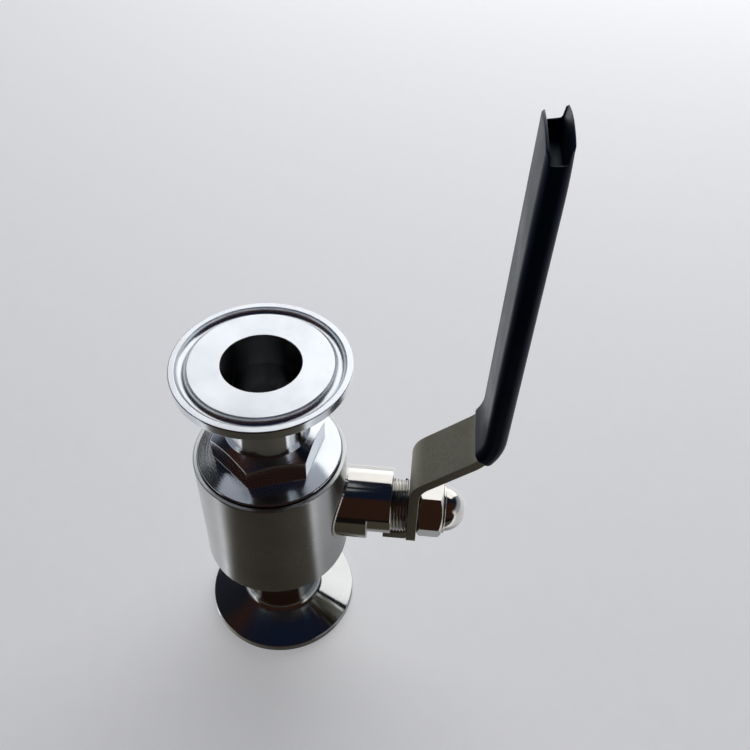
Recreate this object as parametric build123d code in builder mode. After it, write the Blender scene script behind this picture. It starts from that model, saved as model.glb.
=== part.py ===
"""Sanitary ball valve for one inch tube, with clamp ferrules and a cranked lever.

The flow line runs along Z and the stem along X. The origin is the centre of the
lower ferrule's face, on which the valve stands. Sizes are in millimetres.
"""

import os
from math import cos, radians, sin, sqrt, tan

from build123d import *

# Flow line, along Z
FACE_TO_FACE = 116.0
STEM_HEIGHT = 57.0
BORE_DIAMETER = 22.6
TUBE_WALL = 1.4

# Clamp ferrules
FERRULE_DIAMETER = 50.5
FERRULE_RIM = 2.85
FERRULE_SLOPE = 20.0
FERRULE_FILLET = 2.5
RIM_EDGE = 0.3
GROOVE_DIAMETER = 43.6
GROOVE_RADIUS = 1.65

# Barrel of the body
BALL_WALL = 6.2
CAVITY_CLEARANCE = 0.5
BARREL_WALL = 5.25
BARREL_BELOW = 21.8
BARREL_ABOVE = 22.2
BARREL_FOOT_ROUND = 1.2
BARREL_TOP_ROUND = 0.35
NECK_FILLET = 2.0

# Seats, on both sides of the ball
BALL_GAP = 0.3
SEAT_LAND = 3.7
SEAT_EDGE = 1.4
SEAT_LIP = 1.75
SEAT_FIT = 0.1
POCKET_RELIEF = 0.4

# Screwed end plug with its hexagon
FLANGE_RIM = 1.25
FLANGE_GAP = 0.3
FLANGE_SEAT = 2.5
FLANGE_PROUD = 1.0
FLANGE_CONE = 0.9
FLANGE_ROUND = 0.3
THREAD_STEP = 2.0
THREAD_FIT = 0.03
NOSE_FIT = 0.1
SHANK_LENGTH = 6.7
GASKET_THICKNESS = 1.5
HEX_ACROSS_FLATS = 29.5
HEX_LENGTH = 6.7
HEX_CHAMFER = 30.0
HEX_TURN = 19.0

# Ball and the tang that turns it
SLOT_WIDTH = 5.4
SLOT_FLOOR_WALL = 2.0
SLOT_GAP = 0.2
SLOT_END_GAP = 0.3
BALL_EDGE = 0.4
TANG_WIDTH = 10.0

# Stem, along X
STEM_DIAMETER = 10.0
STEM_RUN = 0.1
HEAD_GAP = 0.4
HEAD_RADIUS = 6.6
HEAD_THICKNESS = 1.5
WASHER_GAP = 0.1
WASHER_THICKNESS = 1.0
O_RING_SECTION = 1.2
O_RING_RUN = 0.05
O_RING_SEAT = 0.02
O_RING_GROOVE = 1.6
O_RING_PLACE = 2.2
FLATS_WIDTH = 8.0
STEM_END_CHAMFER = 1.0

# Bonnet, the turned housing around the stem
SPIGOT_DIAMETER = 14.0
SPIGOT_FIT = 0.02
BONNET_STANDOFF = 1.25
BONNET_DIAMETER = 23.0
BONNET_LENGTH = 13.5
BONNET_EDGE = 0.5
PACKING_FLOOR = 2.0
PACKING_WIDTH = 2.2
PACKING_FIT = 0.05
PACKING_COUNT = 3
PACKING_THICKNESS = 1.45
PACKING_BASE = 0.6
FOLLOWER_LENGTH = 1.9
GLAND_DIAMETER = 17.0
GLAND_OVERLAP = 1.0
GLAND_STANDOFF = 4.9
GLAND_SLOT_WIDTH = 2.5
GLAND_SLOT_DEPTH = 1.2
GLAND_SLOT_TURN = 36.0
GLAND_EDGE = 0.4

# Stop notch of the bonnet and the tab that runs in it
NOTCH_DEPTH = 7.4
NOTCH_WALL = 0.8
STOP_GAP = 0.3
TAB_WIDTH = 8.0
TAB_CLEARANCE = 0.7
TAB_OVERLAP = 2.4
TAB_BEND = 1.5

# Lever
LEVER_GAP = 0.3
LEVER_THICKNESS = 3.0
LEVER_WIDTH = 18.6
LEVER_FOOT = 8.0
LEVER_FOOT_ROUND = 3.0
LEVER_RISE = 19.3
LEVER_CRANK = 20.75
LEVER_SLOPE = 41.0
LEVER_LEAN = 1.2
LEVER_LOW_BEND = 8.0
LEVER_HIGH_BEND = 16.0
LEVER_HOLE_FIT = 0.1
LEVER_TIP_ROUND = 3.0

# Grip sleeve
GRIP_TOP = 134.8
GRIP_SLANT = 14.0
GRIP_HOLLOW = 9.0
GRIP_SIDE_WALL = 0.95
GRIP_FACE_WALL = 1.6
GRIP_ROUND = 2.4
GRIP_FIT = 0.1
GRIP_WRAP = 33.0
GRIP_CROWN = 1.7
GRIP_MOUTH_DEPTH = 10.0
GRIP_TIP_WALL = 0.5
GRIP_NOTCH = 4.2
GRIP_NOTCH_WALL = 1.0

# Acorn nut
NUT_ACROSS_FLATS = 17.0
NUT_HEX_LENGTH = 8.0
NUT_HEIGHT = 15.2
NUT_DOME_DIAMETER = 14.4
NUT_FACE_DIAMETER = 16.0
NUT_CHAMFER = 30.0
NUT_TURN = 7.0
NUT_THREAD_FIT = 0.03
NUT_BORE_DEPTH = 9.4
NUT_BORE_END_GAP = 1.0

# Radii of the flow line
bore_radius = BORE_DIAMETER / 2
tube_radius = bore_radius + TUBE_WALL
ferrule_radius = FERRULE_DIAMETER / 2
ball_radius = bore_radius + BALL_WALL
cavity_radius = ball_radius + CAVITY_CLEARANCE
barrel_radius = cavity_radius + BARREL_WALL
ferrule_cone = (ferrule_radius - tube_radius) * tan(radians(FERRULE_SLOPE))

# Seat, measured from the ball's centre
seat_sphere = ball_radius + BALL_GAP
seat_land_radius = bore_radius + SEAT_LAND
seat_radius = seat_land_radius + SEAT_EDGE
seat_front = sqrt(seat_sphere**2 - seat_land_radius**2)
seat_back = sqrt(seat_sphere**2 - bore_radius**2) + SEAT_LIP
pocket_radius = seat_radius + SEAT_FIT
pocket_front = seat_front + POCKET_RELIEF

# Heights of the barrel and of the end plug
barrel_bottom = STEM_HEIGHT - BARREL_BELOW
barrel_top = STEM_HEIGHT + BARREL_ABOVE
flange_bottom = barrel_top - FLANGE_SEAT
flange_top = barrel_top + FLANGE_PROUD
hex_base = flange_top + FLANGE_CONE
hex_corner = hex_base + HEX_LENGTH
hex_radius = HEX_ACROSS_FLATS / 2 / cos(radians(30))
thread_radius = cavity_radius + THREAD_STEP
counterbore_radius = barrel_radius - FLANGE_RIM
flange_radius = counterbore_radius - FLANGE_GAP
hex_top = hex_corner + (hex_radius - tube_radius) * tan(radians(HEX_CHAMFER))
shank_end = flange_bottom - SHANK_LENGTH
gasket_seat = shank_end - GASKET_THICKNESS
nose_end = STEM_HEIGHT + pocket_front
nose_radius = cavity_radius - NOSE_FIT

# Places along the stem, measured from the ball's centre
slot_floor = bore_radius + SLOT_FLOOR_WALL
tang_tip = slot_floor + SLOT_END_GAP
head_inner = ball_radius + HEAD_GAP
head_outer = head_inner + HEAD_THICKNESS
spigot_inner = head_outer + WASHER_GAP + WASHER_THICKNESS
bonnet_inner = barrel_radius + BONNET_STANDOFF
bonnet_outer = bonnet_inner + BONNET_LENGTH
packing_inner = bonnet_inner + PACKING_FLOOR
gland_outer = bonnet_outer + GLAND_STANDOFF
lever_inner = gland_outer + LEVER_GAP
lever_outer = lever_inner + LEVER_THICKNESS
nut_hex_end = lever_outer + NUT_HEX_LENGTH
nut_tip = lever_outer + NUT_HEIGHT
nut_bore_end = lever_outer + NUT_BORE_DEPTH
stem_end = nut_bore_end - NUT_BORE_END_GAP

# Radii around the stem
stem_radius = STEM_DIAMETER / 2
stem_bore = stem_radius + STEM_RUN
spigot_radius = SPIGOT_DIAMETER / 2
bonnet_radius = BONNET_DIAMETER / 2
packing_radius = stem_radius + PACKING_WIDTH
ring_radius = packing_radius - PACKING_FIT
ring_middle = (stem_bore + ring_radius) / 2
vee_depth = ring_middle - stem_bore
gland_radius = GLAND_DIAMETER / 2
notch_radius = gland_radius + NOTCH_WALL
tab_inner = notch_radius + TAB_CLEARANCE
tab_middle = tab_inner + LEVER_THICKNESS / 2
stop_face = TAB_WIDTH / 2 + STOP_GAP
hole_flats = FLATS_WIDTH + 2 * LEVER_HOLE_FIT

# Packing stack, from the bonnet's floor outwards
first_ring = packing_inner + PACKING_BASE
follower_inner = first_ring + PACKING_COUNT * PACKING_THICKNESS
follower_outer = follower_inner + vee_depth + FOLLOWER_LENGTH
gland_thread = follower_outer - GLAND_OVERLAP

# Centre line of the lever, measured from the stem's axis
lever_middle = lever_inner + LEVER_THICKNESS / 2
crank_x = lever_middle + LEVER_CRANK
crank_top = LEVER_RISE + LEVER_CRANK * tan(radians(LEVER_SLOPE))
high_bend_turn = 90 - LEVER_LEAN - LEVER_SLOPE
high_bend_end = crank_top + LEVER_HIGH_BEND * tan(radians(high_bend_turn / 2)) * cos(radians(LEVER_LEAN))
lever_top = GRIP_TOP - GRIP_HOLLOW
grip_width = LEVER_WIDTH + 2 * GRIP_SIDE_WALL
grip_thickness = LEVER_THICKNESS + 2 * GRIP_FACE_WALL
grip_end = GRIP_TOP + GRIP_CROWN
mouth_start = GRIP_TOP - GRIP_MOUTH_DEPTH

stem_plane = Plane(origin=(0, 0, STEM_HEIGHT), x_dir=(1, 0, 0), z_dir=(0, -1, 0))
stem_axis = Axis((0, 0, STEM_HEIGHT), (1, 0, 0))


def grip_x(height):
    """Distance along the stem of the leaning upper leg's centre line, at a height above the stem."""
    return crank_x + (height - crank_top) * tan(radians(LEVER_LEAN))


def across_grip(height, slant=0):
    """Plane across the upper leg, its local x axis along Y, raised by the slant on its outer side."""
    tilt = radians(LEVER_LEAN - slant)
    spot = (grip_x(height), 0, STEM_HEIGHT + height)
    return Plane(origin=spot, x_dir=(0, 1, 0), z_dir=(sin(tilt), 0, cos(tilt)))


def across_stem(distance):
    """Plane square to the stem, its local axes along Y and Z."""
    return Plane(origin=(distance, 0, STEM_HEIGHT), x_dir=(0, 1, 0), z_dir=(1, 0, 0))


def write(part, name):
    """Label a finished piece and save it under its own name."""
    part.label = name
    export_step(part, f"parts/{name}.step")


def corner_at(section, x, y):
    """Corner of a sketch nearest to a point given in the sketch's own axes."""
    return section.vertices().sort_by_distance((x, y, 0))[0]


def ferrule_outline(face, back):
    """Points from the bore to the tube; back is 1 when the tube lies above the face, -1 below."""
    return [
        (bore_radius, face),
        (ferrule_radius, face),
        (ferrule_radius, face + back * FERRULE_RIM),
        (tube_radius, face + back * (FERRULE_RIM + ferrule_cone)),
    ]


def round_ferrule(section, face, back):
    """Break the rim's edges and round the cone into the tube, on a half section."""
    rim = face + back * FERRULE_RIM
    for radius, height, size in [
        (ferrule_radius, face, RIM_EDGE),
        (ferrule_radius, rim, RIM_EDGE),
        (tube_radius, rim + back * ferrule_cone, FERRULE_FILLET),
    ]:
        fillet(corner_at(section, radius, height), size)


def gasket_groove(face):
    """Half-round ring groove in the ferrule's face, to be cut from a part."""
    with BuildSketch(Plane.XZ) as section:
        with Locations((GROOVE_DIAMETER / 2, face)):
            Circle(GROOVE_RADIUS)
    return section.sketch


os.makedirs("parts", exist_ok=True)

# Body: barrel, lower neck and lower ferrule, turned in one piece
with BuildPart() as valve_body:
    with BuildSketch(Plane.XZ) as body_section:
        with BuildLine():
            Polyline(
                ferrule_outline(0, 1)
                + [
                    (tube_radius, barrel_bottom),
                    (barrel_radius, barrel_bottom),
                    (barrel_radius, barrel_top),
                    (counterbore_radius, barrel_top),
                    (counterbore_radius, flange_bottom),
                    (thread_radius + THREAD_FIT, flange_bottom),
                    (thread_radius + THREAD_FIT, gasket_seat),
                    (cavity_radius, gasket_seat),
                    (cavity_radius, STEM_HEIGHT - pocket_front),
                    (pocket_radius, STEM_HEIGHT - pocket_front),
                    (pocket_radius, STEM_HEIGHT - seat_back),
                    (bore_radius, STEM_HEIGHT - seat_back),
                ],
                close=True,
            )
        make_face()
        round_ferrule(body_section, 0, 1)
        for radius, height, size in [
            (tube_radius, barrel_bottom, NECK_FILLET),
            (barrel_radius, barrel_bottom, BARREL_FOOT_ROUND),
            (barrel_radius, barrel_top, BARREL_TOP_ROUND),
        ]:
            fillet(corner_at(body_section, radius, height), size)
    revolve(axis=Axis.Z)
    revolve(gasket_groove(0), axis=Axis.Z, mode=Mode.SUBTRACT)
    with BuildSketch(across_stem(0)):
        Circle(spigot_radius + SPIGOT_FIT)
    extrude(amount=barrel_radius, mode=Mode.SUBTRACT)
write(valve_body.part, "valve_body")

# End plug: hexagon, flange, threaded shank and upper ferrule in one turned piece
with BuildPart() as end_plug:
    with BuildSketch(Plane.XY.offset(flange_top)):
        RegularPolygon(hex_radius, 6, rotation=HEX_TURN)
    extrude(amount=hex_top - flange_top)
    with BuildSketch(Plane.XZ):
        with BuildLine():
            Polyline(
                (bore_radius, flange_top),
                (hex_radius, flange_top),
                (hex_radius, hex_corner),
                (tube_radius, hex_top),
                (bore_radius, hex_top),
                close=True,
            )
        make_face()
    revolve(axis=Axis.Z, mode=Mode.INTERSECT)
    with BuildSketch(Plane.XZ) as plug_section:
        with BuildLine():
            Polyline(
                ferrule_outline(FACE_TO_FACE, -1)
                + [
                    (tube_radius, hex_base),
                    (HEX_ACROSS_FLATS / 2, hex_base),
                    (flange_radius, flange_top),
                    (flange_radius, flange_bottom),
                    (thread_radius, flange_bottom),
                    (thread_radius, shank_end),
                    (nose_radius, shank_end),
                    (nose_radius, nose_end),
                    (pocket_radius, nose_end),
                    (pocket_radius, STEM_HEIGHT + seat_back),
                    (bore_radius, STEM_HEIGHT + seat_back),
                ],
                close=True,
            )
        make_face()
        round_ferrule(plug_section, FACE_TO_FACE, -1)
        fillet(corner_at(plug_section, flange_radius, flange_top), FLANGE_ROUND)
    revolve(axis=Axis.Z)
    revolve(gasket_groove(FACE_TO_FACE), axis=Axis.Z, mode=Mode.SUBTRACT)
write(end_plug.part, "end_plug")

# Body gasket, pressed between the plug's shank and the body's ledge
with BuildPart() as body_gasket:
    with BuildSketch(Plane.XY.offset(gasket_seat)):
        Circle(thread_radius)
        Circle(cavity_radius, mode=Mode.SUBTRACT)
    extrude(amount=GASKET_THICKNESS)
write(body_gasket.part, "body_gasket")


def seat_ring(side):
    """Seat above the ball for side 1, below it for side -1."""
    middle = STEM_HEIGHT + side * (seat_front + seat_back) / 2
    with BuildPart() as seat:
        with Locations((0, 0, middle)):
            Cylinder(seat_radius, seat_back - seat_front)
            Cylinder(bore_radius, seat_back - seat_front, mode=Mode.SUBTRACT)
        with Locations((0, 0, STEM_HEIGHT)):
            Sphere(seat_sphere, mode=Mode.SUBTRACT)
    return seat.part


write(seat_ring(-1), "lower_seat")
write(seat_ring(1), "upper_seat")

# Ball, with its bore along the flow and the stem's slot across it
with BuildPart() as ball:
    with Locations((0, 0, STEM_HEIGHT)):
        Sphere(ball_radius)
        Cylinder(bore_radius, 2 * ball_radius, mode=Mode.SUBTRACT)
    rims = ball.edges().group_by(Axis.Z)
    fillet(rims[0] + rims[-1], BALL_EDGE)
    with BuildSketch(across_stem(slot_floor)):
        Rectangle(2 * ball_radius, SLOT_WIDTH)
    extrude(amount=ball_radius, mode=Mode.SUBTRACT)
write(ball.part, "ball")

# Stem: tang in the ball's slot, head inside the body, flats for the lever, threaded end
o_ring_middle = spigot_inner + O_RING_PLACE
o_ring_radius = stem_bore - O_RING_RUN - O_RING_SECTION / 2
groove_floor = o_ring_radius - O_RING_SECTION / 2 - O_RING_SEAT
with BuildPart() as stem:
    with BuildSketch(stem_plane) as stem_section:
        with BuildLine():
            Polyline(
                (head_inner, 0),
                (head_inner, HEAD_RADIUS),
                (head_outer, HEAD_RADIUS),
                (head_outer, stem_radius),
                (o_ring_middle - O_RING_GROOVE / 2, stem_radius),
                (o_ring_middle - O_RING_GROOVE / 2, groove_floor),
                (o_ring_middle + O_RING_GROOVE / 2, groove_floor),
                (o_ring_middle + O_RING_GROOVE / 2, stem_radius),
                (stem_end - STEM_END_CHAMFER, stem_radius),
                (stem_end, stem_radius - STEM_END_CHAMFER),
                (stem_end, 0),
                close=True,
            )
        make_face()
    revolve(axis=stem_axis)
    with BuildSketch(across_stem(tang_tip)):
        Rectangle(TANG_WIDTH, SLOT_WIDTH - 2 * SLOT_GAP)
    extrude(amount=head_inner - tang_tip)
    with BuildSketch(across_stem(lever_inner)):
        Circle(stem_radius)
        Rectangle(STEM_DIAMETER, FLATS_WIDTH, mode=Mode.SUBTRACT)
    extrude(amount=stem_end - lever_inner, mode=Mode.SUBTRACT)
write(stem.part, "stem")

# Thrust washer, between the stem's head and the bonnet's spigot
with BuildPart() as thrust_washer:
    with BuildSketch(across_stem(head_outer + WASHER_GAP)):
        Circle(spigot_radius)
        Circle(stem_bore, mode=Mode.SUBTRACT)
    extrude(amount=WASHER_THICKNESS)
write(thrust_washer.part, "thrust_washer")

# O-ring in the stem's groove, inside the bonnet
with BuildPart() as stem_o_ring:
    with BuildSketch(stem_plane):
        with Locations((o_ring_middle, o_ring_radius)):
            Circle(O_RING_SECTION / 2)
    revolve(axis=stem_axis)
write(stem_o_ring.part, "stem_o_ring")

# Bonnet: spigot in the barrel's side, packing box, and the notch that stops the lever
with BuildPart() as bonnet:
    with BuildSketch(stem_plane) as bonnet_section:
        with BuildLine():
            Polyline(
                (spigot_inner, stem_bore),
                (spigot_inner, spigot_radius),
                (bonnet_inner, spigot_radius),
                (bonnet_inner, bonnet_radius),
                (bonnet_outer, bonnet_radius),
                (bonnet_outer, gland_radius + THREAD_FIT),
                (gland_thread, gland_radius + THREAD_FIT),
                (gland_thread, packing_radius),
                (packing_inner, packing_radius),
                (packing_inner, stem_bore),
                close=True,
            )
        make_face()
        for place in (bonnet_inner, bonnet_outer):
            fillet(corner_at(bonnet_section, place, bonnet_radius), BONNET_EDGE)
    revolve(axis=stem_axis)
    with BuildSketch(across_stem(bonnet_outer - NOTCH_DEPTH)):
        with Locations((stop_face, stop_face)):
            Rectangle(BONNET_DIAMETER, BONNET_DIAMETER, align=(Align.MAX, Align.MAX))
        Circle(notch_radius, mode=Mode.SUBTRACT)
    extrude(amount=NOTCH_DEPTH, mode=Mode.SUBTRACT)
write(bonnet.part, "bonnet")


def packing_piece(outline):
    """Ring turned about the stem from points of distance along the stem and radius."""
    with BuildPart() as ring:
        with BuildSketch(stem_plane):
            with BuildLine():
                Polyline(outline, close=True)
            make_face()
        revolve(axis=stem_axis)
    return ring.part


def vee_outline(place, thickness):
    """Nesting vee ring of the packing, with its ridge pointing outwards."""
    return [
        (place, stem_bore),
        (place + vee_depth, ring_middle),
        (place, ring_radius),
        (place + thickness, ring_radius),
        (place + thickness + vee_depth, ring_middle),
        (place + thickness, stem_bore),
    ]


# Packing: a base ring, nesting vee rings and the follower that presses them
base_outline = [
    (packing_inner, stem_bore),
    (packing_inner, ring_radius),
    (first_ring, ring_radius),
    (first_ring + vee_depth, ring_middle),
    (first_ring, stem_bore),
]
write(packing_piece(base_outline), "packing_base_ring")
for number in range(PACKING_COUNT):
    place = first_ring + number * PACKING_THICKNESS
    write(packing_piece(vee_outline(place, PACKING_THICKNESS)), f"packing_ring_{number + 1}")
follower_outline = [
    (follower_inner, stem_bore),
    (follower_inner + vee_depth, ring_middle),
    (follower_inner, ring_radius),
    (follower_outer, ring_radius),
    (follower_outer, stem_bore),
]
write(packing_piece(follower_outline), "packing_follower")

# Gland nut, screwed into the bonnet, with a slot across its outer end
with BuildPart() as gland_nut:
    with BuildSketch(stem_plane) as gland_section:
        with BuildLine():
            Polyline(
                (follower_outer, stem_bore),
                (follower_outer, gland_radius),
                (gland_outer, gland_radius),
                (gland_outer, stem_bore),
                close=True,
            )
        make_face()
        chamfer(corner_at(gland_section, gland_outer, gland_radius), GLAND_EDGE)
    revolve(axis=stem_axis)
    with BuildSketch(across_stem(gland_outer - GLAND_SLOT_DEPTH)):
        Rectangle(GLAND_DIAMETER, GLAND_SLOT_WIDTH, rotation=GLAND_SLOT_TURN)
    extrude(amount=GLAND_SLOT_DEPTH, mode=Mode.SUBTRACT)
write(gland_nut.part, "gland_nut")

# Lever: one strip of plate, cranked twice, with its stop tab folded back at the foot
with BuildPart() as handle_lever:
    with BuildSketch(stem_plane):
        with BuildLine():
            FilletPolyline(
                (lever_middle, -LEVER_FOOT),
                (lever_middle, LEVER_RISE),
                (crank_x, crank_top),
                (grip_x(lever_top), lever_top),
                radius=[LEVER_LOW_BEND, LEVER_HIGH_BEND],
            )
        trace(line_width=LEVER_THICKNESS)
    extrude(amount=LEVER_WIDTH / 2, both=True)
    for end, corner_round in ((0, LEVER_FOOT_ROUND), (-1, LEVER_TIP_ROUND)):
        end_face = handle_lever.faces().sort_by(Axis.Z)[end]
        fillet(end_face.edges().sort_by(SortBy.LENGTH)[:2], corner_round)
    with BuildSketch(stem_plane):
        with BuildLine():
            FilletPolyline(
                (lever_middle, -stem_radius),
                (lever_middle, -tab_middle),
                (bonnet_outer - TAB_OVERLAP, -tab_middle),
                radius=TAB_BEND + LEVER_THICKNESS / 2,
            )
        trace(line_width=LEVER_THICKNESS)
    extrude(amount=TAB_WIDTH / 2, both=True)
    with BuildSketch(across_stem(lever_inner)):
        Circle(stem_radius + LEVER_HOLE_FIT)
        Rectangle(2 * hole_flats, hole_flats, mode=Mode.INTERSECT)
    extrude(amount=LEVER_THICKNESS, mode=Mode.SUBTRACT)
write(handle_lever.part, "handle_lever")

# Grip: flat sleeve that follows the upper bend; its end is open, crowned across the width and slanted,
# and the narrow sides stop short of the wide ones there
with BuildPart() as grip_sleeve:
    with BuildLine(stem_plane) as grip_line:
        bend_centre = (
            grip_x(high_bend_end) - LEVER_HIGH_BEND * cos(radians(LEVER_LEAN)),
            high_bend_end + LEVER_HIGH_BEND * sin(radians(LEVER_LEAN)),
        )
        wrap = CenterArc(bend_centre, LEVER_HIGH_BEND, -LEVER_LEAN - GRIP_WRAP, GRIP_WRAP)
        Line(wrap @ 1, (grip_x(grip_end), grip_end))
    foot = Plane(origin=grip_line.line @ 0, x_dir=(0, 1, 0), z_dir=grip_line.line % 0)
    with BuildSketch(foot):
        RectangleRounded(grip_width, grip_thickness, GRIP_ROUND)
    sweep(path=grip_line.line)
    strip_width = LEVER_WIDTH + 2 * GRIP_FIT
    with BuildSketch(foot):
        Rectangle(strip_width, LEVER_THICKNESS + 2 * GRIP_FIT)
    sweep(path=grip_line.line, mode=Mode.SUBTRACT)
    with BuildSketch(across_grip(mouth_start)):
        Rectangle(strip_width, LEVER_THICKNESS + 2 * GRIP_FIT)
    with BuildSketch(across_grip(grip_end)):
        Rectangle(strip_width, grip_thickness - 2 * GRIP_TIP_WALL)
    loft(mode=Mode.SUBTRACT)
    mouth = across_grip(GRIP_TOP, GRIP_SLANT)
    with BuildSketch(Plane(origin=mouth.origin, x_dir=mouth.x_dir, z_dir=-mouth.y_dir)):
        with BuildLine():
            crown = ThreePointArc((-grip_width / 2, -GRIP_CROWN), (0, 0), (grip_width / 2, -GRIP_CROWN))
            Polyline(
                crown @ 1,
                (grip_width / 2, 2 * GRIP_CROWN),
                (-grip_width / 2, 2 * GRIP_CROWN),
                crown @ 0,
            )
        make_face()
    extrude(amount=grip_thickness, both=True, mode=Mode.SUBTRACT)
    with BuildSketch(mouth.offset(-GRIP_NOTCH)):
        Rectangle(grip_width, grip_thickness - 2 * GRIP_NOTCH_WALL)
    extrude(amount=GRIP_NOTCH, mode=Mode.SUBTRACT)
write(grip_sleeve.part, "grip_sleeve")

# Acorn nut: hexagon chamfered at both ends, then the dome
with BuildPart() as acorn_nut:
    nut_radius = NUT_ACROSS_FLATS / 2 / cos(radians(30))
    nut_face = NUT_FACE_DIAMETER / 2
    nut_chamfer = (nut_radius - nut_face) * tan(radians(NUT_CHAMFER))
    with BuildSketch(across_stem(lever_outer)):
        RegularPolygon(nut_radius, 6, rotation=-NUT_TURN)
    extrude(amount=NUT_HEX_LENGTH)
    with BuildSketch(stem_plane):
        with BuildLine():
            Polyline(
                (lever_outer, 0),
                (lever_outer, nut_face),
                (lever_outer + nut_chamfer, nut_radius),
                (nut_hex_end - nut_chamfer, nut_radius),
                (nut_hex_end, nut_face),
                (nut_hex_end, 0),
                close=True,
            )
        make_face()
    revolve(axis=stem_axis, mode=Mode.INTERSECT)
    dome_radius = NUT_DOME_DIAMETER / 2
    with BuildSketch(stem_plane):
        with BuildLine():
            Line((nut_hex_end, 0), (nut_hex_end, dome_radius))
            Line((nut_hex_end, dome_radius), (nut_tip - dome_radius, dome_radius))
            CenterArc((nut_tip - dome_radius, 0), dome_radius, 0, 90)
            Line((nut_tip, 0), (nut_hex_end, 0))
        make_face()
    revolve(axis=stem_axis)
    with BuildSketch(across_stem(lever_outer)):
        Circle(stem_radius + NUT_THREAD_FIT)
    extrude(amount=NUT_BORE_DEPTH, mode=Mode.SUBTRACT)
write(acorn_nut.part, "acorn_nut")
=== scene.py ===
"""Looks of a one inch sanitary ball valve with clamp ferrules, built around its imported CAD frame."""

from math import radians

import bmesh
import bpy
import numpy as np
from mathutils import Euler, Matrix, Vector


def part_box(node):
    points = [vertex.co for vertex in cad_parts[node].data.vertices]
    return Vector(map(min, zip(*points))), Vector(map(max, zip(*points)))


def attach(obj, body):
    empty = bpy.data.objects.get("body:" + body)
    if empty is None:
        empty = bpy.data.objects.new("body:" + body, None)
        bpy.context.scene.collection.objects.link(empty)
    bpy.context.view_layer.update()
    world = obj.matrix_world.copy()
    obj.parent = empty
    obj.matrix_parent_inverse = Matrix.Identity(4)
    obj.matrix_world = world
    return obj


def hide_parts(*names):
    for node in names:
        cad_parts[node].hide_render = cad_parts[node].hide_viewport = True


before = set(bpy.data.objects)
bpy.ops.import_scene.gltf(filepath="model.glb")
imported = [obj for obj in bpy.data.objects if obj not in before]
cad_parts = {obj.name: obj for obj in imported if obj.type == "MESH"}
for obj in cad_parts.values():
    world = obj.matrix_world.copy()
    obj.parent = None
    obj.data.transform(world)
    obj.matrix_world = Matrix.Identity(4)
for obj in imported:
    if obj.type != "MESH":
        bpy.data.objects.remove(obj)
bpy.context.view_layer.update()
scene = bpy.context.scene
scene.view_settings.view_transform = "Standard"

# Camera: stands in front of the barrel, a little to the lever's side, and looks down at it by
# 45 degrees. Its place and lens come from the ellipses of the ferrules and the barrel.
lens = bpy.data.cameras.new("camera")
lens.lens = 39.935
lens.sensor_width = 36.0
lens.clip_start = 0.01
camera_place = Vector((0.041784, -0.159159, 0.274923))
camera_turn = Euler((radians(44.8694), radians(-1.28206), radians(5.09013)))
camera = bpy.data.objects.new("camera", lens)
camera.matrix_world = Matrix.LocRotScale(camera_place, camera_turn, None)
scene.collection.objects.link(camera)
scene.camera = camera


# Table: a matt pale laminate top, which the camera sees even. The turned steel mirrors painted light on it:
# a painted wedge of shade for whoever stands at the camera, painted shade under the bonnet, and a painted
# glow.
def colour(code):
    """Linear RGBA from an sRGB hex code: c / 12.92 below 0.04045, else ((c + 0.055) / 1.055) ** 2.4."""
    values = np.array([int(code[i:i + 2], 16) for i in (1, 3, 5)]) / 255
    low = values / 12.92
    high = ((values + 0.055) / 1.055) ** 2.4
    return (*np.where(values <= 0.04045, low, high), 1.0)


def add(tree, kind, inputs=None, **settings):
    """Add a shader node; inputs maps a socket's name or number to a value or to another node's output.

    By number, a MapRange takes the value at 0, its range at 1 and 2 and the new range at 3 and 4;
    a colour Mix takes the share at 0 and two colours at 6 and 7, and gives its colour at output 2.
    """
    node = tree.nodes.new("ShaderNode" + kind)
    for name, value in settings.items():
        setattr(node, name, value)
    for socket, value in (inputs or {}).items():
        if isinstance(value, bpy.types.NodeSocket):
            tree.links.new(value, node.inputs[socket])
        else:
            node.inputs[socket].default_value = value
    return node


def bare_material(name):
    """New material and its node tree, emptied."""
    material = bpy.data.materials.new(name)
    material.use_nodes = True
    material.node_tree.nodes.clear()
    return material, material.node_tree


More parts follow.
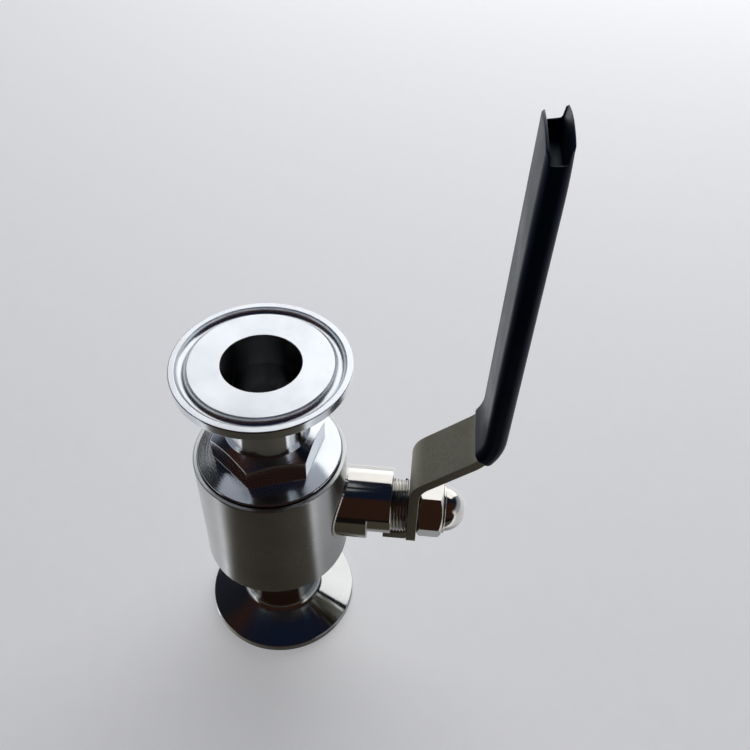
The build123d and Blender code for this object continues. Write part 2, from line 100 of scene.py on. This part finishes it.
def pale_laminate_painted_shade_and_glow(glow_seen, bonnet_middle):
    """Pale table top with painted shade that only the rays that the camera doesn't send can see.

    The painted shade is a wedge towards the camera, where |x| is under about 1.5 times the distance in
    front of the valve, and from 0.15 m out it is painted nearly black. Camera rays get an even glow of
    glow_seen. Mirrored rays get a painted glow that is brightest beside the wedge and faint within it,
    and painted shade round bonnet_middle, the place under the bonnet.
    """
    material, tree = bare_material("matt_pale_laminate")
    place = add(tree, "TexCoord").outputs["Object"]
    parts = add(tree, "SeparateXYZ", {0: place}).outputs
    forward = add(tree, "Math", {0: parts[1], 1: -1.0}, operation="MULTIPLY").outputs[0]
    sideways = add(tree, "Math", {0: parts[0]}, operation="ABSOLUTE").outputs[0]
    ahead = add(tree, "Math", {0: forward, 1: 0.0001}, operation="MAXIMUM").outputs[0]
    slant = add(tree, "Math", {0: sideways, 1: ahead}, operation="DIVIDE").outputs[0]
    # Painted shade: a wedge towards the camera, seen only by rays other than the camera's.
    wedge = add(tree, "MapRange", {0: slant, 1: 1.45, 2: 1.65, 3: 1.0, 4: 0.0}).outputs[0]
    near = add(tree, "MapRange", {0: forward, 1: 0.0, 2: 0.03, 3: 0.0, 4: 1.0}).outputs[0]
    painted_shade = add(tree, "Math", {0: wedge, 1: near}, operation="MULTIPLY").outputs[0]

    ray = add(tree, "LightPath").outputs
    unseen = add(tree, "Math", {0: 1.0, 1: ray["Is Camera Ray"]}, operation="SUBTRACT").outputs[0]
    painted_shade_off_camera = add(tree, "Math", {0: painted_shade, 1: unseen}, operation="MULTIPLY").outputs[0]
    # Painted shade colour: brown near the valve, painted nearly black from 0.13 to 0.16 m out.
    far = add(tree, "MapRange", {0: forward, 1: 0.13, 2: 0.16, 3: 0.0, 4: 1.0}).outputs[0]
    fibre = add(tree, "TexNoise", {"Vector": place, "Scale": 160.0, "Detail": 6.0}).outputs[0]
    pale = add(tree, "Mix", {0: fibre, 6: colour("#dcdde0"), 7: colour("#e2e3e5")}, data_type="RGBA")
    painted_shade_colour = add(tree, "Mix", {0: far, 6: colour("#8a8473"), 7: colour("#17130f")}, data_type="RGBA")
    tone = add(tree, "Mix", {0: painted_shade_off_camera, 6: pale.outputs[2], 7: painted_shade_colour.outputs[2]}, data_type="RGBA").outputs[2]
    dimple = add(tree, "Bump", {"Height": fibre, "Strength": 0.1, "Distance": 0.0002}).outputs[0]
    matt = add(tree, "BsdfPrincipled", {"Base Color": tone, "Roughness": 0.75, "Normal": dimple})

    seen = add(tree, "Math", {0: ray["Is Camera Ray"], 1: glow_seen}, operation="MULTIPLY").outputs[0]
    # Painted glow for mirrored rays: brightest beside the painted wedge, a little less behind the valve.
    painted_glow_beside_wedge = add(tree, "MapRange", {0: slant, 1: 1.6, 2: 2.6, 3: 1.7, 4: 0.8}).outputs[0]
    behind = add(tree, "MapRange", {0: forward, 1: -0.10, 2: 0.0, 3: 0.95, 4: 0.8}).outputs[0]
    brighter = add(tree, "Math", {0: behind, 1: painted_glow_beside_wedge}, operation="MAXIMUM").outputs[0]
    open_glow = add(tree, "MapRange", {0: painted_shade, 3: brighter, 4: 0.1}).outputs[0]
    # Painted shade under the bonnet: the mirrored glow drops to 0.15 of itself within 30 mm of bonnet_middle.
    beneath = add(tree, "VectorMath", {0: place, 1: bonnet_middle}, operation="DISTANCE").outputs["Value"]
    painted_shade_under_bonnet = add(tree, "MapRange", {0: beneath, 1: 0.030, 2: 0.060, 3: 0.15, 4: 1.0}).outputs[0]
    glow_with_painted_bonnet_shade = add(tree, "Math", {0: open_glow, 1: painted_shade_under_bonnet}, operation="MULTIPLY").outputs[0]
    glow = add(tree, "Math", {0: ray["Is Glossy Ray"], 1: glow_with_painted_bonnet_shade, 2: seen}, operation="MULTIPLY_ADD")
    # The table glows though it is no lamp: an even glow to camera rays, a painted glow to mirrored ones.
    lift = add(tree, "Emission", {"Color": tone, "Strength": glow.outputs[0]})
    both = add(tree, "AddShader", {0: matt.outputs[0], 1: lift.outputs[0]})
    add(tree, "OutputMaterial", {"Surface": both.outputs[0]})
    return material


rows = 13
across, along = np.meshgrid(np.linspace(-1.5, 1.5, rows), np.linspace(-1.0, 2.0, rows))
points = np.stack([across, along, 0 * across], -1).reshape(-1, 3)
first = (np.arange(rows - 1)[:, None] * rows + np.arange(rows - 1)).reshape(-1, 1)
faces = first + np.array([0, 1, rows + 1, rows])
floor_mesh = bpy.data.meshes.new("table_top")
floor_mesh.from_pydata(points.tolist(), [], faces.tolist())
floor_mesh.materials.append(pale_laminate_painted_shade_and_glow(glow_seen=0.42, bonnet_middle=(0.045, 0.0, 0.0)))
floor = bpy.data.objects.new("table_top", floor_mesh)
scene.collection.objects.link(floor)

# Light: one large soft panel above and behind the valve, turned to the upper half of its barrel.
# It gives the pale ferrule face and the bright upper bands on the bonnet and the nut.
panel = bpy.data.lights.new("soft_panel_behind", "AREA")
panel.shape = "RECTANGLE"
panel.size = 1.39
panel.size_y = 1.28
panel.energy = 10.0
panel_place = Vector((0.21, 0.92, 0.62))
panel_aim = Vector((0.0, 0.0, 0.07))
lamp = bpy.data.objects.new("soft_panel_behind", panel)
lamp.matrix_world = Matrix.LocRotScale(panel_place, (panel_place - panel_aim).to_track_quat("Z", "Y"), None)
scene.collection.objects.link(lamp)


# Room: the steel mirrors a dim one, brown in front, blue-black behind and above, with low pale
# walls at the sides that turn from white to grey at the back. The camera sees a pale backdrop.
def dim_room():
    """World whose colours follow the direction: its y for front, sides and back, its z for height."""
    world = bpy.data.worlds.new("dim_room")
    world.use_nodes = True
    tree = world.node_tree
    tree.nodes.clear()
    facing = add(tree, "TexCoord").outputs["Generated"]
    parts = add(tree, "SeparateXYZ", {0: facing}).outputs
    ceiling = add(tree, "MapRange", {0: parts[2], 1: 0.86, 2: 0.90, 3: 0.0, 4: 1.0}).outputs[0]
    behind = add(tree, "MapRange", {0: parts[1], 1: -0.02, 2: 0.1, 3: 0.0, 4: 1.0}).outputs[0]
    beside = add(tree, "MapRange", {0: parts[1], 1: -0.60, 2: -0.50, 3: 0.0, 4: 1.0}).outputs[0]
    low = add(tree, "MapRange", {0: parts[2], 1: 0.25, 2: 0.45, 3: 1.0, 4: 0.0}).outputs[0]
    rear = add(tree, "MapRange", {0: parts[1], 1: -0.42, 2: -0.30, 3: 0.0, 4: 1.0}).outputs[0]
    skirt = add(tree, "Math", {0: beside, 1: low}, operation="MULTIPLY").outputs[0]
    wall = add(tree, "Mix", {0: rear, 6: colour("#ffffff"), 7: colour("#b3bbc8")}, data_type="RGBA")
    upper = add(tree, "Mix", {0: behind, 6: colour("#38241d"), 7: colour("#1c1f27")}, data_type="RGBA")
    sky = add(tree, "Mix", {0: ceiling, 6: upper.outputs[2], 7: colour("#161f33")}, data_type="RGBA")
    mirrored = add(tree, "Mix", {0: skirt, 6: sky.outputs[2], 7: wall.outputs[2]}, data_type="RGBA")
    seen = add(tree, "LightPath").outputs["Is Camera Ray"]
    shown = add(tree, "Mix", {0: seen, 6: mirrored.outputs[2], 7: colour("#d9dbdf")}, data_type="RGBA")
    light = add(tree, "Background", {"Color": shown.outputs[2], "Strength": 1.0})
    add(tree, "OutputWorld", {"Surface": light.outputs[0]})
    return world


scene.world = dim_room()

# Body: one forging of stainless steel 304, turned all over on a lathe, with a barrel for the
# ball, a plain neck and a clamp ferrule at its foot. The tool leaves fine rings round the flow
# line, which draw the light out along the barrel in a satin streak.
stem_height = 0.057


def rubbed_edges(tree, radius, full):
    """Normal of edges rounded by radius, and how far they are rubbed bright, from 0 to 1.

    The rubbing follows the cosine between the rounded normal and the face's own: it starts at
    0.985 and is whole at full.
    """
    rounded = add(tree, "Bevel", {"Radius": radius}, samples=6).outputs[0]
    face = add(tree, "NewGeometry").outputs["Normal"]
    cosine = add(tree, "VectorMath", {0: rounded, 1: face}, operation="DOT_PRODUCT").outputs["Value"]
    rubbed = add(tree, "MapRange", {0: cosine, 1: 0.985, 2: full, 3: 0.0, 4: 1.0}).outputs[0]
    return rounded, rubbed


def turned_steel(name, axis, steel, roughness, streak, ring, polish=0.0, satin_from=-1.0):
    """Stainless steel turned about the flow line (axis Z) or the stem (axis X).

    The rings are noise over the radius and the distance along the axis, so they close on
    themselves; ring is their spacing in metres, drawn coarser than the real 0.1 mm feed. Below the
    height satin_from, in metres, the piece is polished instead of satin.
    """
    material, tree = bare_material(name)
    own = add(tree, "TexCoord").outputs["Object"]
    place = own
    if axis == "X":
        centre = {0: own, "Location": (0.0, 0.0, stem_height), "Rotation": (0.0, radians(90), 0.0)}
        place = add(tree, "Mapping", centre, vector_type="TEXTURE").outputs[0]
    parts = add(tree, "SeparateXYZ", {0: place}).outputs
    flat = add(tree, "VectorMath", {0: place, 1: (1.0, 1.0, 0.0)}, operation="MULTIPLY").outputs[0]
    radius = add(tree, "VectorMath", {0: flat}, operation="LENGTH").outputs["Value"]
    profile = add(tree, "CombineXYZ", {0: radius, 2: parts[2]}).outputs[0]
    rings = add(tree, "TexNoise", {"Vector": profile, "Scale": 1 / ring, "Detail": 3.0, "Roughness": 0.6})

    smear = add(tree, "TexNoise", {"Vector": place, "Scale": 60.0, "Detail": 4.0, "Roughness": 0.55})
    handled = add(tree, "MapRange", {0: smear.outputs[0], 1: 0.35, 2: 0.65, 3: 0.0, 4: 1.0}).outputs[0]
    darker = tuple(0.92 * v for v in steel[:3]) + (1.0,)
    patina = add(tree, "Mix", {0: handled, 6: darker, 7: steel}, data_type="RGBA").outputs[2]
    round_edge, worn = rubbed_edges(tree, 0.0003, 0.90)
    bright = add(tree, "Mix", {0: worn, 6: patina, 7: colour("#d2d0cb")}, data_type="RGBA").outputs[2]

    height = add(tree, "SeparateXYZ", {0: own}).outputs[2]
    satin = add(tree, "Math", {0: height, 1: satin_from}, operation="GREATER_THAN").outputs[0]
    finish = add(tree, "MapRange", {0: satin, 3: 0.11, 4: roughness}).outputs[0]
    wear = add(tree, "MapRange", {0: smear.outputs[0], 1: 0.3, 2: 0.7, 3: 0.03, 4: -0.02}).outputs[0]
    dull = add(tree, "Math", {0: finish, 1: wear}, operation="ADD").outputs[0]

    specks = add(tree, "TexNoise", {"Vector": place, "Scale": 700.0, "Detail": 2.0}).outputs[0]
    lines = add(tree, "Bump", {
        "Height": rings.outputs[0], "Strength": 0.35, "Distance": 0.00004, "Normal": round_edge}).outputs[0]
    grain = add(tree, "Bump", {
        "Height": specks, "Strength": 0.06 * (1 - polish), "Distance": 0.00003, "Normal": lines}).outputs[0]
    round_about = add(tree, "Tangent", direction_type="RADIAL", axis=axis).outputs[0]
    metal = add(tree, "BsdfPrincipled", {
        "Base Color": bright, "Metallic": 1.0, "Roughness": dull, "Normal": grain,
        "Anisotropic": streak, "Anisotropic Rotation": 0.25, "Tangent": round_about})
    add(tree, "OutputMaterial", {"Surface": metal.outputs[0]})
    return material


def dress(node, material):
    """Put one finish on a CAD node."""
    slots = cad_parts[node].data.materials
    slots.clear()
    slots.append(material)


barrel_foot = 0.0352
dress("valve_body", turned_steel(
    "turned_stainless_barrel", "Z", colour("#b3b5b4"), roughness=0.28, streak=0.95, ring=0.0005,
    satin_from=barrel_foot))

# End plug: hexagon, flange and upper ferrule in one, of stainless steel turned and milled from
# bar, and screwed into the barrel. Its ferrule is faced satin, and what lies below is polished.
ferrule_back = 0.105
dress("end_plug", turned_steel(
    "faced_stainless_ferrule", "Z", colour("#c4c8cd"), roughness=0.20, streak=0.9, ring=0.0004,
    satin_from=ferrule_back))


# Seats, gasket, thrust washer and packing: virgin PTFE, sintered and then turned to size.
# It looks waxy and white, and is faintly mottled.
def sealing_resin(name, tint):
    """Waxy white resin with clouds of 5 mm and a nap of 0.4 mm, drawn coarser than the real one."""
    material, tree = bare_material(name)
    place = add(tree, "TexCoord").outputs["Object"]
    cloud = add(tree, "TexNoise", {"Vector": place, "Scale": 220.0, "Detail": 3.0}).outputs[0]
    nap = add(tree, "TexNoise", {"Vector": place, "Scale": 2500.0}).outputs[0]
    tone = add(tree, "Mix", {0: cloud, 6: tint, 7: colour("#e4e2da")}, data_type="RGBA").outputs[2]
    relief = add(tree, "Bump", {"Height": nap, "Strength": 0.15, "Distance": 0.00003}).outputs[0]
    wax = add(tree, "MapRange", {0: cloud, 3: 0.38, 4: 0.5}).outputs[0]
    resin = add(tree, "BsdfPrincipled", {"Base Color": tone, "Roughness": wax, "IOR": 1.35, "Normal": relief})
    add(tree, "OutputMaterial", {"Surface": resin.outputs[0]})
    return material


white_resin = sealing_resin("sintered_ptfe", colour("#f0efea"))
for ring_name in ("body_gasket", "lower_seat", "upper_seat", "thrust_washer", "packing_base_ring",
                  "packing_ring_1", "packing_ring_2", "packing_ring_3"):
    dress(ring_name, white_resin)

# Ball, stem and follower: a stainless ball, ground and polished, is turned by a ground stem whose
# tang sits in its slot, and a turned follower presses on the packing round the stem.
dress("ball", turned_steel(
    "polished_stainless_ball", "Z", colour("#c4c3bf"), roughness=0.12, streak=0.2, ring=0.0006, polish=0.8))
dress("stem", turned_steel(
    "ground_stainless_stem", "X", colour("#b8b6b0"), roughness=0.2, streak=0.8, ring=0.0004))
dress("packing_follower", turned_steel(
    "turned_stainless_follower", "X", colour("#b5b3ac"), roughness=0.24, streak=0.8, ring=0.0004))


# O-ring: black fluoro rubber, moulded, in the stem's groove inside the bonnet. It is a soft dull
# black with a faint grey bloom.
def fluoro_rubber():
    """Dull black rubber, clouded and dimpled by one noise of 1.1 mm."""
    material, tree = bare_material("moulded_fluoro_rubber")
    place = add(tree, "TexCoord").outputs["Object"]
    bloom = add(tree, "TexNoise", {"Vector": place, "Scale": 900.0, "Detail": 4.0}).outputs[0]
    tone = add(tree, "Mix", {0: bloom, 6: colour("#121212"), 7: colour("#222120")}, data_type="RGBA")
    skin = add(tree, "Bump", {"Height": bloom, "Strength": 0.2, "Distance": 0.00003})
    compound = add(tree, "BsdfPrincipled", {
        "Base Color": tone.outputs[2], "Roughness": 0.5, "Normal": skin.outputs[0]})
    add(tree, "OutputMaterial", {"Surface": compound.outputs[0]})
    return material


dress("stem_o_ring", fluoro_rubber())

# Bonnet: a stainless housing round the stem, turned and nearly polished, welded into the barrel's
# side. Its outer half has the milled notch that stops the lever.
bonnet_steel = turned_steel(
    "turned_stainless_bonnet", "X", colour("#b9b7b1"), roughness=0.13, streak=0.85, ring=0.0005)
dress("bonnet", bonnet_steel)

# Bonnet's foot: coped to the barrel and run into it by a small weld bead, whose ripples are
# 1.2 mm long. Its outer end dips just under the bonnet's own surface, so that no seam shows.
barrel_radius = 23.25
spigot_radius = 11.0
bonnet_radius = 11.5
bead_reach = 0.55
bead_rise = 0.5
bead_sink = 0.03
foot_columns = 480
foot_start = 24.95
foot_end = 26.5
foot_ends = [[foot_end], [foot_end], [foot_start]]
foot_radii = [[spigot_radius], [bonnet_radius - 0.025], [bonnet_radius + 0.002]]


def closed_surface(name, grid, sharp):
    """Mesh over a grid of points (station, column, xyz) that closes on itself both ways, in metres.

    Each face takes the four neighbours of its corner, points in one place are merged, and edges
    that fold more than sharp degrees stay crisp.
    """
    stations, columns = grid.shape[:2]
    corner = np.arange(stations * columns).reshape(stations, columns)
    right = np.roll(corner, -1, axis=1)
    faces = np.stack([corner, right, np.roll(right, -1, axis=0), np.roll(corner, -1, axis=0)], -1)
    mesh = bpy.data.meshes.new(name)
    mesh.from_pydata(grid.reshape(-1, 3).tolist(), [], faces.reshape(-1, 4).tolist())
    shell = bmesh.new()
    shell.from_mesh(mesh)
    bmesh.ops.remove_doubles(shell, verts=shell.verts, dist=1e-7)
    bmesh.ops.recalc_face_normals(shell, faces=shell.faces)
    shell.to_mesh(mesh)
    shell.free()
    mesh.shade_smooth()
    mesh.set_sharp_from_angle(angle=radians(sharp))
    piece = bpy.data.objects.new(name, mesh)
    scene.collection.objects.link(piece)
    return piece


def about_stem(x, radius, columns):
    """Grid of a ring about the stem from distances along it and radii in mm, one row for each station."""
    turn = np.arange(columns) * 2 * np.pi / columns
    x = np.asarray(x) + 0 * turn
    radius = np.asarray(radius) + 0 * turn
    return np.stack([x / 1000, radius * np.cos(turn) / 1000, stem_height + radius * np.sin(turn) / 1000], -1)


def barrel_side(radius, turn):
    """Distance along the stem of the barrel's side: sqrt(barrel_radius ** 2 - (radius * cos(turn)) ** 2)."""
    return np.sqrt(barrel_radius ** 2 - (radius * np.cos(turn)) ** 2)


around = np.arange(foot_columns) * 2 * np.pi / foot_columns
ripple = 1 + 0.12 * np.abs(np.sin(30 * around))
bead_turn = np.radians(np.linspace(0, 90, 8))[:, None]
bead_radius = bonnet_radius + 0.005 + bead_rise * ripple * np.sin(bead_turn)
bead_x = barrel_side(bead_radius, around) + bead_reach * ripple * np.cos(bead_turn) - bead_sink
inner_x = barrel_side(spigot_radius, around) - bead_sink
foot_x = np.vstack([foot_ends + 0 * around, bead_x, inner_x])
foot_radius = np.vstack([foot_radii + 0 * around, bead_radius, spigot_radius + 0 * around])
foot = closed_surface("bonnet_welded_foot", about_stem(foot_x, foot_radius, foot_columns), sharp=50)
foot.data.materials.append(bonnet_steel)
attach(foot, "valve")


# Gland nut: stainless, turned, with a fine thread outside and two slots for a spanner in its
# face. It screws into the bonnet and tightens the packing.
def threaded_ring(inner_end, outer_end, bore, crest, pitch, depth, slot_width, slot_depth, slot_turn):
    """Grid of a threaded ring about the stem, its stations going round the section, in metres.

    They run along the bore, up the outer face, back along the thread at 12 to a pitch and down
    the inner face. On the thread the radius is crest - depth * t, with t the trapezium wave of
    x / pitch - turn / 360, less a chamfer at both ends. Columns are doubled at the slots' edges,
    and between these x is at most outer_end - slot_depth.
    """
    slot_floor = outer_end - slot_depth
    root = crest - depth
    chamfer = 0.8 * depth
    climb = np.linspace(0, 1, 7)
    thread_x = np.linspace(outer_end, inner_end, int((outer_end - inner_end) / pitch * 12))
    along = np.concatenate([
        [inner_end, slot_floor, outer_end], np.full(6, outer_end), thread_x, np.full(5, inner_end)])
    section = np.concatenate([
        np.full(3, bore), bore + (root - bore) * climb[1:], np.full(thread_x.size, crest),
        root + (bore - root) * climb[1:-1]])
    on_thread = np.repeat([False, True, False], [9, thread_x.size, 5])[:, None]

    columns = [61, 9, 61, 9]
    share = np.concatenate([np.linspace(0, 1, count) for count in columns])
    half = np.repeat([0, 0, 1, 1], columns)
    in_slot = np.repeat([False, True, False, True], columns)
    edge = np.arcsin(slot_width / 2 / section)[:, None]
    turn = np.where(in_slot, np.pi - edge + 2 * edge * share, edge + (np.pi - 2 * edge) * share)
    turn = turn + radians(slot_turn) + np.pi * half
    x = np.where(in_slot, np.minimum(along[:, None], slot_floor), along[:, None] + 0 * turn)
    wave = np.abs((x / pitch - turn / (2 * np.pi)) % 1 - 0.5) * 2
    cut = depth * np.clip(1.6 * wave - 0.3, 0, 1)
    limit = crest - np.clip(chamfer - np.minimum(outer_end - x, x - inner_end), 0, chamfer)
    radius = np.where(on_thread, np.minimum(crest - cut, limit), section[:, None])
    return np.stack([x, radius * np.cos(turn), stem_height + radius * np.sin(turn)], -1)


gland_low, gland_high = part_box("gland_nut")
gland = closed_surface("gland_nut_threaded", threaded_ring(
    gland_low[0], gland_high[0], bore=0.0051, crest=(gland_high[2] - gland_low[2]) / 2,
    pitch=0.0010, depth=0.0004, slot_width=0.0025, slot_depth=0.0012, slot_turn=36.0), sharp=50)
gland.data.materials.append(turned_steel(
    "threaded_stainless_gland", "X", colour("#b0aea8"), roughness=0.15, streak=0.5, ring=0.0004))
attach(gland, "valve")
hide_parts("gland_nut")


# Lever: 3 mm stainless strip, sheared, cranked twice and bead blasted, so it is an even olive
# grey with a fine sparkle, and its cut edges are rubbed brighter.
def blasted_strip():
    """Steel pitted by a noise of 0.7 mm, coarser than the real blasting, with edges that rub bright."""
    material, tree = bare_material("bead_blasted_stainless_strip")
    place = add(tree, "TexCoord").outputs["Object"]
    blasting = add(tree, "TexNoise", {"Vector": place, "Scale": 1500.0, "Detail": 3.0, "Roughness": 0.7})
    pits = blasting.outputs[0]
    cloud = add(tree, "TexNoise", {"Vector": place, "Scale": 90.0, "Detail": 4.0}).outputs[0]
    tone = add(tree, "Mix", {0: pits, 6: colour("#6d6a5a"), 7: colour("#a5a192")}, data_type="RGBA")
    veil = add(tree, "Mix", {0: cloud, 6: colour("#cfcdc2"), 7: colour("#ffffff")}, data_type="RGBA")
    olive = add(tree, "Mix", {
        0: 1.0, 6: tone.outputs[2], 7: veil.outputs[2]}, data_type="RGBA", blend_type="MULTIPLY").outputs[2]
    round_edge, worn = rubbed_edges(tree, 0.00035, 0.85)
    rubbed = add(tree, "Mix", {0: worn, 6: olive, 7: colour("#bdb9ae")}, data_type="RGBA").outputs[2]
    smooth = add(tree, "MapRange", {0: worn, 3: 0.52, 4: 0.3}).outputs[0]
    relief = add(tree, "Bump", {
        "Height": pits, "Strength": 0.35, "Distance": 0.00006, "Normal": round_edge}).outputs[0]
    strip = add(tree, "BsdfPrincipled", {
        "Base Color": rubbed, "Metallic": 1.0, "Roughness": smooth, "Normal": relief})
    add(tree, "OutputMaterial", {"Surface": strip.outputs[0]})
    return material


dress("handle_lever", blasted_strip())


# Grip: a sleeve of soft black vinyl, dip moulded on the strip, satin and a little mottled where
# hands have rubbed it. It follows the lever's upper bend and is open at its end.
def moulded_vinyl():
    """Blue-black soft vinyl with 14 mm clouds and pores of 0.6 mm, drawn coarser than the real ones."""
    material, tree = bare_material("dip_moulded_black_vinyl")
    place = add(tree, "TexCoord").outputs["Object"]
    rub = add(tree, "TexNoise", {"Vector": place, "Scale": 70.0, "Detail": 5.0}).outputs[0]
    pores = add(tree, "TexNoise", {"Vector": place, "Scale": 1800.0, "Detail": 2.0}).outputs[0]
    tone = add(tree, "Mix", {0: rub, 6: colour("#080e1b"), 7: colour("#14233a")}, data_type="RGBA").outputs[2]
    gloss = add(tree, "MapRange", {0: rub, 1: 0.3, 2: 0.7, 3: 0.36, 4: 0.48}).outputs[0]
    leather = add(tree, "Bump", {"Height": pores, "Strength": 0.15, "Distance": 0.00004}).outputs[0]
    skin = add(tree, "BsdfPrincipled", {
        "Base Color": tone, "Roughness": gloss, "Normal": leather,
        "IOR": 1.53, "Specular IOR Level": 0.08, "Specular Tint": colour("#cbe4ff")})
    add(tree, "OutputMaterial", {"Surface": skin.outputs[0]})
    return material


def rounded_ring(width, thickness, corner):
    """Round a rectangle with rounded corners: offsets across (along Y) and outward, 100 columns.

    A point of the core rectangle plus corner times a turning normal; both are straight between
    the knots where a side ends and a corner begins.
    """
    step = np.arange(100)
    knots = np.cumsum([0, 24, 8, 10, 8, 24, 8, 10, 8])
    reach = width / 2 - corner
    lift = thickness / 2 - corner
    core_y = np.interp(step, knots, np.array([-1, 1, 1, 1, 1, -1, -1, -1, -1]) * reach)
    core_out = np.interp(step, knots, np.array([1, 1, 1, -1, -1, -1, -1, 1, 1]) * lift)
    normal = np.radians(np.interp(step, knots, [90, 90, 0, 0, -90, -90, -180, -180, -270]))
    return core_y + corner * np.cos(normal), core_out + corner * np.sin(normal)


def sleeve_centre(travel):
    """Centre and direction of the sleeve at a travel from its foot, in mm.

    An arc of 33 degrees about the bend's centre, then a straight line that leans by 1.2 degrees.
    """
    radius, wrap, lean = 16.0, 33.0, 1.2
    bend_x, bend_z = 49.602, 101.762
    arc = radius * radians(wrap)
    turn = np.radians(-lean - wrap) + np.minimum(travel, arc) / radius
    beyond = np.maximum(travel - arc, 0)
    ahead_x = -np.sin(turn)
    ahead_z = np.cos(turn)
    x = bend_x + radius * np.cos(turn) + beyond * ahead_x
    z = bend_z + radius * np.sin(turn) + beyond * ahead_z
    return x, z, ahead_x, ahead_z


def sleeve_rows(travel, ring_y, ring_out):
    """Places ring offsets across and outward of the sleeve's centre line at each travel, in metres."""
    x, z, ahead_x, ahead_z = sleeve_centre(travel)
    return np.stack([x + ring_out * ahead_z, ring_y + 0 * x, z - ring_out * ahead_x], -1) / 1000


def half_round(base, rise, start, end):
    """Rows that bow from one ring of offsets to another, at a travel of base + rise * sin(bow)."""
    bow = np.radians(np.linspace(0, 180, 9))[1:-1, None]
    share = (1 - np.cos(bow)) / 2
    ring_y, ring_out = (near + share * (far - near) for near, far in zip(start, end))
    return sleeve_rows(base + rise * np.sin(bow), ring_y, ring_out)


# Its open end: the wide walls are crowned, the outer one stands higher by a slant of 14 degrees,
# and the narrow sides stop lower, past a smooth step. The last 14 mm draw in a little, and the
# mouth opens a little.
sleeve_length = 99.6
sleeve_width = 20.5
sleeve_thickness = 6.2
hollow_width = 18.8
hollow_thickness = 3.2
crown = 1.7
side_drop = 4.2
slant = radians(14)
lip_height = 0.3
heel_height = 0.9
side_edge = 2.4
side_blend = 0.5
vinyl = moulded_vinyl()
wide_y, wide_out = rounded_ring(sleeve_width, sleeve_thickness, corner=2.4)
strip_y, strip_out = rounded_ring(hollow_width, hollow_thickness, corner=0.3)
narrow = np.clip((side_edge - np.abs(wide_out)) / side_blend, 0, 1)
narrow = narrow * narrow * (3 - 2 * narrow)
crowned = sleeve_length - crown * (2 * wide_y / sleeve_width) ** 2
rim = crowned + (sleeve_length - side_drop - crowned) * narrow + np.tan(slant) * wide_out
even = np.linspace(heel_height, sleeve_length - 12, 60)[:, None] + 0 * rim
ending = np.linspace(0, 1, 16)[1:, None]
travel = np.concatenate([even, even[-1] + ending * (rim - lip_height - even[-1])])
drawn = np.clip((travel - (sleeve_length - 14)) / 12, 0, 1) ** 2
outer_out = wide_out * (1 - 0.06 * drawn) - 0.18 * drawn
opened = np.clip((travel - (sleeve_length - 10)) / 10, 0, 1)
hollow_out = strip_out * (1 + 0.55 * opened)
outer = sleeve_rows(travel, wide_y, outer_out)
lip = half_round(rim - lip_height, 0.25, (wide_y, outer_out[-1]), (strip_y, hollow_out[-1]))
hollow = sleeve_rows(travel, strip_y, hollow_out)[::-1]
heel = half_round(heel_height, -heel_height, (strip_y, strip_out), (wide_y, wide_out))
grip = closed_surface("grip_sleeve_moulded", np.concatenate([outer, lip, hollow, heel]), sharp=60)
grip.data.materials.append(vinyl)
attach(grip, "stem_and_handle")
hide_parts("grip_sleeve")

# Web: inside the mouth the vinyl of the sleeve closes over the strip's end in a thin skin,
# dished where the dip drew back. Its rows run from the middle out to an edge inside the
# sleeve's wall, and back beneath.
web_depth = 8.9
web_spread = 1.1
web_travel = sleeve_length - web_depth + np.array([0.5, 0.6, 1.1, 0.3, 0.1, 0.1])[:, None]
web_reach = np.array([0.0, 0.6, 1.0, 1.0, 0.6, 0.0])[:, None]
web_rows = sleeve_rows(web_travel, web_reach * strip_y, web_reach * strip_out * web_spread)
web = closed_surface("grip_sleeve_web", web_rows, sharp=60)
web.data.materials.append(vinyl)
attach(web, "stem_and_handle")

# Acorn nut: polished stainless domed nut, M10, that holds the lever on the stem. A low round
# collar with a chamfered edge stands between its hexagon and its dome.
nut_steel = turned_steel(
    "polished_stainless_nut", "X", colour("#c0beb9"), roughness=0.10, streak=0.3, ring=0.0005, polish=0.7)
dress("acorn_nut", nut_steel)

hexagon_height = 0.008
hexagon_end = (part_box("acorn_nut")[0][0] + hexagon_height) * 1000
collar_x = hexagon_end + np.array([-0.3, 0.0, 0.6, 0.7, 0.7])[:, None]
collar_radius = np.array([7.0, 7.8, 7.8, 7.7, 6.8])[:, None]
collar = closed_surface("acorn_nut_collar", about_stem(collar_x, collar_radius, columns=96), sharp=50)
collar.data.materials.append(nut_steel)
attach(collar, "stem_and_handle")
